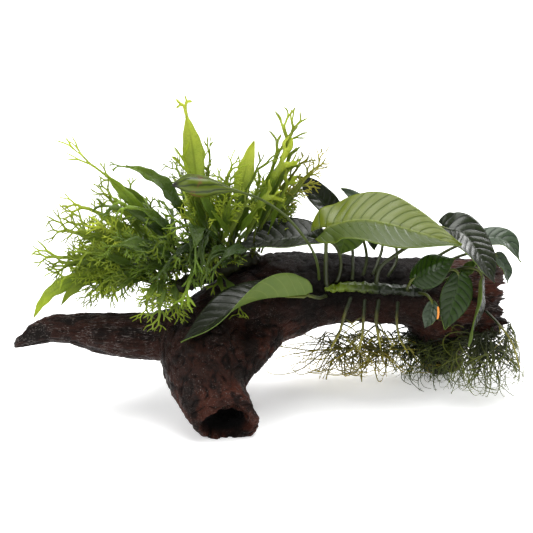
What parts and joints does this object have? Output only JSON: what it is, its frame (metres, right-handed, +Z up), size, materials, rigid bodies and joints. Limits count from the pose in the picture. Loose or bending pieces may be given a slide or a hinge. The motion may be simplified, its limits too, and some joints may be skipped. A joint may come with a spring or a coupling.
{
  "type": "java fern and anubias on driftwood",
  "caption": "Three-footed dark driftwood root planted with a clump of lacy-tipped java fern and a broad-leaved anubias whose roots hang below it.",
  "frame": {"origin": "under the middle of the whole plant, on the surface that the wood's feet stand on", "axes": "+X along the root from the tapering left limb to the broken right end, +Y away from the sawn front foot, +Z up"},
  "size_m": [0.4016, 0.1928, 0.2468],
  "materials": {
    "bogwood": "wet, nearly black, with red-brown patches and a fine grain",
    "fern_frond": "soft semi-gloss leaf, yellow-green at the tips and dark green low down",
    "fern_rhizome": "scaly dark green and brown",
    "anubias_leaf": "leathery, glossy above, with side veins",
    "anubias_rhizome": "knobbly olive green with ring scars",
    "root": "smooth olive to yellow-green",
    "fine_roots": "loose mass of fine roots",
    "orange_tie": "matte"
  },
  "bodies": {
    "root": {"anubias_leaf_back_tip": "anubias_leaf", "anubias_leaf_big_pale": "anubias_leaf", "anubias_leaf_cupped": "anubias_leaf", "anubias_leaf_dark_back_left": "anubias_leaf", "anubias_leaf_dark_right": "anubias_leaf", "anubias_leaf_dark_tip": "anubias_leaf", "anubias_leaf_far_right": "anubias_leaf", "anubias_leaf_front_twisted": "anubias_leaf", "anubias_leaf_green_under": "anubias_leaf", "anubias_leaf_hanging_dark": "anubias_leaf", "anubias_leaf_hanging_edge_on": "anubias_leaf", "anubias_leaf_high_back": "anubias_leaf", "anubias_leaf_right_drooping": "anubias_leaf", "anubias_leaf_small_bright": "anubias_leaf", "anubias_leaf_small_grey": "anubias_leaf", "anubias_rhizome": "anubias_rhizome", "anubias_rolled_leaf": "anubias_leaf", "anubias_root_first": "root", "anubias_root_fourth": "root", "anubias_root_long_right": "root", "anubias_root_second": "root", "anubias_root_third": "root", "driftwood_front_foot": "bogwood", "driftwood_hub": "bogwood", "driftwood_left_limb": "bogwood", "driftwood_rear_foot": "bogwood", "driftwood_right_foot": "bogwood", "driftwood_right_limb": "bogwood", "fern_frond_antler": "fern_frond", "fern_frond_arching_strap": "fern_frond", "fern_frond_back_left": "fern_frond", "fern_frond_back_low": "fern_frond", "fern_frond_back_middle": "fern_frond", "fern_frond_back_right": "fern_frond", "fern_frond_back_tall": "fern_frond", "fern_frond_dark_lace": "fern_frond", "fern_frond_front_hanging": "fern_frond", "fern_frond_front_lace": "fern_frond", "fern_frond_front_left": "fern_frond", "fern_frond_front_right_lace": "fern_frond", "fern_frond_front_strap": "fern_frond", "fern_frond_high_left": "fern_frond", "fern_frond_high_left_inner": "fern_frond", "fern_frond_left_hanging": "fern_frond", "fern_frond_left_lower": "fern_frond", "fern_frond_left_middle": "fern_frond", "fern_frond_left_upper": "fern_frond", "fern_frond_long_drooping": "fern_frond", "fern_frond_pale_spear": "fern_frond", "fern_frond_right_arching": "fern_frond", "fern_frond_right_low": "fern_frond", "fern_frond_right_middle": "fern_frond", "fern_frond_upright_broad": "fern_frond", "fern_frond_upright_forked": "fern_frond", "fern_frond_upright_narrow": "fern_frond", "fern_rhizome": "fern_rhizome", "orange_tie": "orange_tie", "root_tangle_foot": "fine_roots", "root_tangle_side": "fine_roots", "root_tangle_under_rhizome": "fine_roots"}
  },
  "joints": []
}
